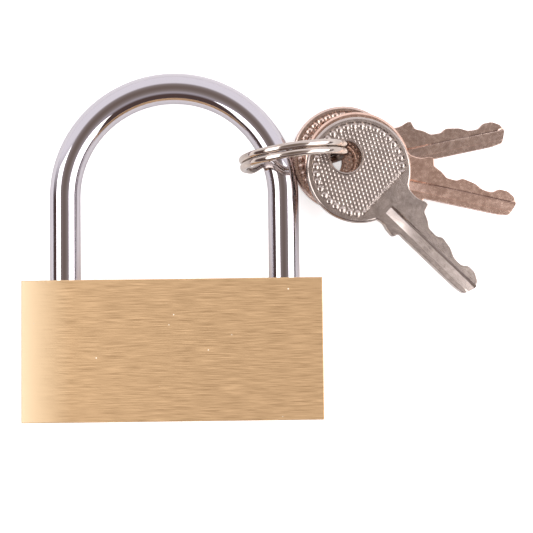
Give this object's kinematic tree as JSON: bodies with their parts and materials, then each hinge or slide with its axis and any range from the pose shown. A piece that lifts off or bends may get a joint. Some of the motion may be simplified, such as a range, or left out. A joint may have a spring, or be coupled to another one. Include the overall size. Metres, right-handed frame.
{
  "type": "padlock",
  "caption": "Rectangular brass padlock with a round steel shackle, turning keyhole plug, latch and pin tumblers inside, and a split ring carrying flat keys.",
  "frame": {"origin": "centre of the body's back face, which lies on the ground", "axes": "+X across the body towards the shackle's toe leg, +Y from the keyhole end towards the shackle's arch, +Z out of the front face"},
  "size_m": [0.1006, 0.071, 0.0223],
  "materials": {
    "brass": "brushed, fine lines across the width",
    "shackle_chrome": "bright plated",
    "spring_steel": "drawn wire",
    "pin_steel": "turned steel",
    "ring_nickel": "bright nickel-plated wire",
    "key_nickel": "nickel-plated and slightly worn, knurled bow"
  },
  "bodies": {
    "lock_body": {"body": "brass", "shackle_retaining_pin": "pin_steel", "plug_retaining_pin": "pin_steel", "latch_bore_plug": "brass", "shackle_spring": "spring_steel", "latch_spring": "spring_steel", "chamber_plug_1": "brass", "chamber_plug_2": "brass", "chamber_plug_3": "brass", "chamber_plug_4": "brass", "pin_spring_1": "spring_steel", "pin_spring_2": "spring_steel", "pin_spring_3": "spring_steel", "pin_spring_4": "spring_steel"},
    "shackle": {"shackle": "shackle_chrome"},
    "latch": {"latch_bolt": "pin_steel"},
    "plug": {"lock_plug": "brass"},
    "key_ring": {"key_ring": "ring_nickel"},
    "driver_1": {"driver_pin_1": "pin_steel"},
    "key_pin_1": {"key_pin_1": "brass"},
    "driver_2": {"driver_pin_2": "pin_steel"},
    "key_pin_2": {"key_pin_2": "brass"},
    "driver_3": {"driver_pin_3": "pin_steel"},
    "key_pin_3": {"key_pin_3": "brass"},
    "driver_4": {"driver_pin_4": "pin_steel"},
    "key_pin_4": {"key_pin_4": "brass"},
    "key_1": {"key_1": "key_nickel"},
    "key_2": {"key_2": "key_nickel"},
    "key_3": {"key_3": "key_nickel"}
  },
  "joints": [
    {"name": "shackle_lift", "type": "slide", "parent": "lock_body", "child": "shackle", "axis": [0, 1, 0], "range_m": [0, 0.0105], "deforming": ["shackle_spring"]},
    {"name": "plug_turn", "type": "hinge", "parent": "lock_body", "child": "plug", "pos_m": [0, 0, 0.0065], "axis": [0, 1, 0], "range_deg": [0, 90]},
    {"name": "latch_slide", "type": "slide", "parent": "lock_body", "child": "latch", "axis": [1, 0, 0], "range_m": [0, 0.0024], "deforming": ["latch_spring"]},
    {"name": "key_ring_swing", "type": "hinge", "parent": "shackle", "child": "key_ring", "pos_m": [0.02146, 0.03814, 0.0065], "axis": [0.3024, -0.9532, 0], "range_deg": [0, 100]},
    {"name": "key_1_swing", "type": "hinge", "parent": "key_ring", "child": "key_1", "pos_m": [0.03525, 0.03866, 0.00892], "axis": [0.1551, 0.0059, 0.9879], "range_deg": [-30, 6]},
    {"name": "key_2_swing", "type": "hinge", "parent": "key_ring", "child": "key_2", "pos_m": [0.03415, 0.03835, 0.006], "axis": [0.0748, -0.0299, 0.9968], "range_deg": [-5, 5]},
    {"name": "key_3_swing", "type": "hinge", "parent": "key_ring", "child": "key_3", "pos_m": [0.03157, 0.03847, 0.00355], "axis": [0.0409, -0.0628, 0.9972], "range_deg": [-6, 24]},
    {"name": "tumbler_1_driver", "type": "slide", "parent": "lock_body", "child": "driver_1", "axis": [1, 0, 0], "range_m": [0, 0.003], "deforming": ["pin_spring_1"]},
    {"name": "tumbler_1_key_pin", "type": "slide", "parent": "plug", "child": "key_pin_1", "axis": [0, 0, 1], "range_m": [-0.0014, 0]},
    {"name": "tumbler_2_driver", "type": "slide", "parent": "lock_body", "child": "driver_2", "axis": [1, 0, 0], "range_m": [0, 0.003], "deforming": ["pin_spring_2"]},
    {"name": "tumbler_2_key_pin", "type": "slide", "parent": "plug", "child": "key_pin_2", "axis": [0, 0, 1], "range_m": [-0.002, 0]},
    {"name": "tumbler_3_driver", "type": "slide", "parent": "lock_body", "child": "driver_3", "axis": [1, 0, 0], "range_m": [0, 0.003], "deforming": ["pin_spring_3"]},
    {"name": "tumbler_3_key_pin", "type": "slide", "parent": "plug", "child": "key_pin_3", "axis": [0, 0, 1], "range_m": [-0.0006, 0]},
    {"name": "tumbler_4_driver", "type": "slide", "parent": "lock_body", "child": "driver_4", "axis": [1, 0, 0], "range_m": [0, 0.003], "deforming": ["pin_spring_4"]},
    {"name": "tumbler_4_key_pin", "type": "slide", "parent": "plug", "child": "key_pin_4", "axis": [0, 0, 1], "range_m": [-0.0015, 0]}
  ],
  "couplings": [
    {"joint": "latch_slide", "follows": "plug_turn", "m_per_rad": 0.0015279}
  ]
}
